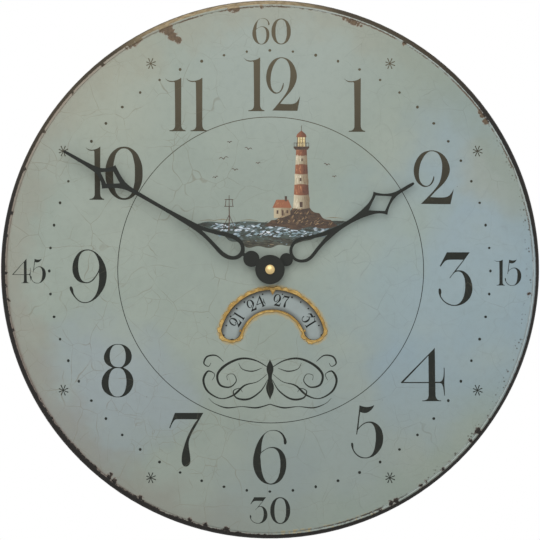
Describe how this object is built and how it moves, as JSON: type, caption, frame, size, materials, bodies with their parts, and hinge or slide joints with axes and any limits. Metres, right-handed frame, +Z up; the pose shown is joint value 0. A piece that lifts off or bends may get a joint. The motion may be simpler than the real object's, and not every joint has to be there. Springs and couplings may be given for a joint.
{
  "type": "wall clock",
  "caption": "Round wall clock with black loop-and-lozenge hands, painted dial, gilt calendar aperture over a turning date disc, and a battery quartz movement behind a standoff ring.",
  "frame": {"origin": "centre of the keyhole plate's round nail entry, on the wall plane", "axes": "+Z up, the dial faces -Y, +Y into the wall, +X right as the dial is read"},
  "size_m": [0.36, 0.0395, 0.3599],
  "materials": {
    "black_lacquer": "satin",
    "dial_paint": "matte",
    "numeral_ink": "matte",
    "picture_paint": "matte",
    "date_ink": "matte",
    "label_print": "matte",
    "gilt": "satin",
    "ring_paint": "matte",
    "board_wood": "satin",
    "zinc_steel": "satin",
    "date_card": "matte",
    "brass": "satin",
    "spring_steel": "satin",
    "rubber": "matte",
    "hand_black": "satin",
    "case_plastic": "matte",
    "knob_plastic": "gloss",
    "wheel_plastic": "matte",
    "battery_jacket": "gloss",
    "circuit_green": "satin",
    "copper_wire": "gloss",
    "magnet_dark": "satin"
  },
  "bodies": {
    "case": {"board": "board_wood", "dial_plate": "dial_paint", "calendar_surround": "gilt", "back_ring": "ring_paint", "ring_screws": "zinc_steel", "hanger_plate": "zinc_steel", "hanger_screws": "zinc_steel", "date_bush": "brass", "date_jumper": "spring_steel", "jumper_screw": "zinc_steel", "threaded_bush": "brass", "rubber_washer": "rubber", "dial_washer": "brass", "clamp_nut": "brass", "movement_case": "case_plastic", "movement_cover": "case_plastic", "battery": "battery_jacket", "contact_plus": "spring_steel", "contact_minus": "spring_steel", "circuit_board": "circuit_green", "crystal": "zinc_steel", "stator": "magnet_dark", "coil_core": "magnet_dark", "stator_screws": "zinc_steel", "coil_bobbin": "knob_plastic", "coil_winding": "copper_wire"},
    "minute": {"cannon_arbor": "brass", "minute_hand": "hand_black", "hand_nut": "brass", "friction_spring": "spring_steel"},
    "hour": {"hour_wheel": "brass", "hour_collet": "brass", "hour_hand": "hand_black"},
    "intermediate": {"minute_wheel": "wheel_plastic"},
    "day": {"day_wheel": "wheel_plastic", "day_finger": "spring_steel"},
    "setting": {"setting_knob": "knob_plastic"},
    "rotor": {"rotor": "wheel_plastic", "rotor_magnet": "magnet_dark"},
    "fifth": {"fifth_wheel": "wheel_plastic"},
    "fourth": {"fourth_wheel": "wheel_plastic"},
    "third": {"third_wheel": "wheel_plastic"},
    "centre": {"centre_wheel": "wheel_plastic"},
    "date": {"date_disc": "date_card", "date_arbor": "zinc_steel", "date_knob": "knob_plastic"}
  },
  "joints": [
    {"name": "minute_turn", "type": "hinge", "parent": "case", "child": "minute", "pos_m": [0, -0.02, -0.145], "axis": [0, 1, 0], "continuous": true},
    {"name": "hour_turn", "type": "hinge", "parent": "case", "child": "hour", "pos_m": [0, -0.02, -0.145], "axis": [0, 1, 0], "continuous": true},
    {"name": "intermediate_turn", "type": "hinge", "parent": "case", "child": "intermediate", "pos_m": [-0.00167, -0.02, -0.13555], "axis": [0, 1, 0], "continuous": true},
    {"name": "day_turn", "type": "hinge", "parent": "case", "child": "day", "pos_m": [0.00996, -0.02, -0.15336], "axis": [0, 1, 0], "continuous": true},
    {"name": "setting_turn", "type": "hinge", "parent": "case", "child": "setting", "pos_m": [-0.00333, -0.02, -0.12609], "axis": [0, 1, 0], "continuous": true},
    {"name": "rotor_turn", "type": "hinge", "parent": "case", "child": "rotor", "pos_m": [0.0147, -0.02, -0.12605], "axis": [0, 1, 0], "continuous": true},
    {"name": "fifth_turn", "type": "hinge", "parent": "case", "child": "fifth", "pos_m": [0.01041, -0.02, -0.12964], "axis": [0, 1, 0], "continuous": true},
    {"name": "fourth_turn", "type": "hinge", "parent": "case", "child": "fourth", "pos_m": [0.01255, -0.02, -0.13551], "axis": [0, 1, 0], "continuous": true},
    {"name": "third_turn", "type": "hinge", "parent": "case", "child": "third", "pos_m": [0.00895, -0.02, -0.14174], "axis": [0, 1, 0], "continuous": true},
    {"name": "centre_turn", "type": "hinge", "parent": "case", "child": "centre", "pos_m": [0, -0.02, -0.145], "axis": [0, 1, 0], "continuous": true},
    {"name": "date_turn", "type": "hinge", "parent": "case", "child": "date", "pos_m": [0.0017, -0.02, -0.1939], "axis": [0, 1, 0], "continuous": true, "deforming": ["date_jumper"]}
  ],
  "couplings": [
    {"joint": "hour_turn", "follows": "minute_turn", "ratio": 0.083333},
    {"joint": "intermediate_turn", "follows": "minute_turn", "ratio": -0.33333},
    {"joint": "day_turn", "follows": "minute_turn", "ratio": -0.041667},
    {"joint": "setting_turn", "follows": "minute_turn", "ratio": 1},
    {"joint": "fifth_turn", "follows": "rotor_turn", "ratio": -0.16667},
    {"joint": "fourth_turn", "follows": "rotor_turn", "ratio": 0.033333},
    {"joint": "third_turn", "follows": "rotor_turn", "ratio": -0.0041667},
    {"joint": "centre_turn", "follows": "rotor_turn", "ratio": 0.00055556}
  ]
}
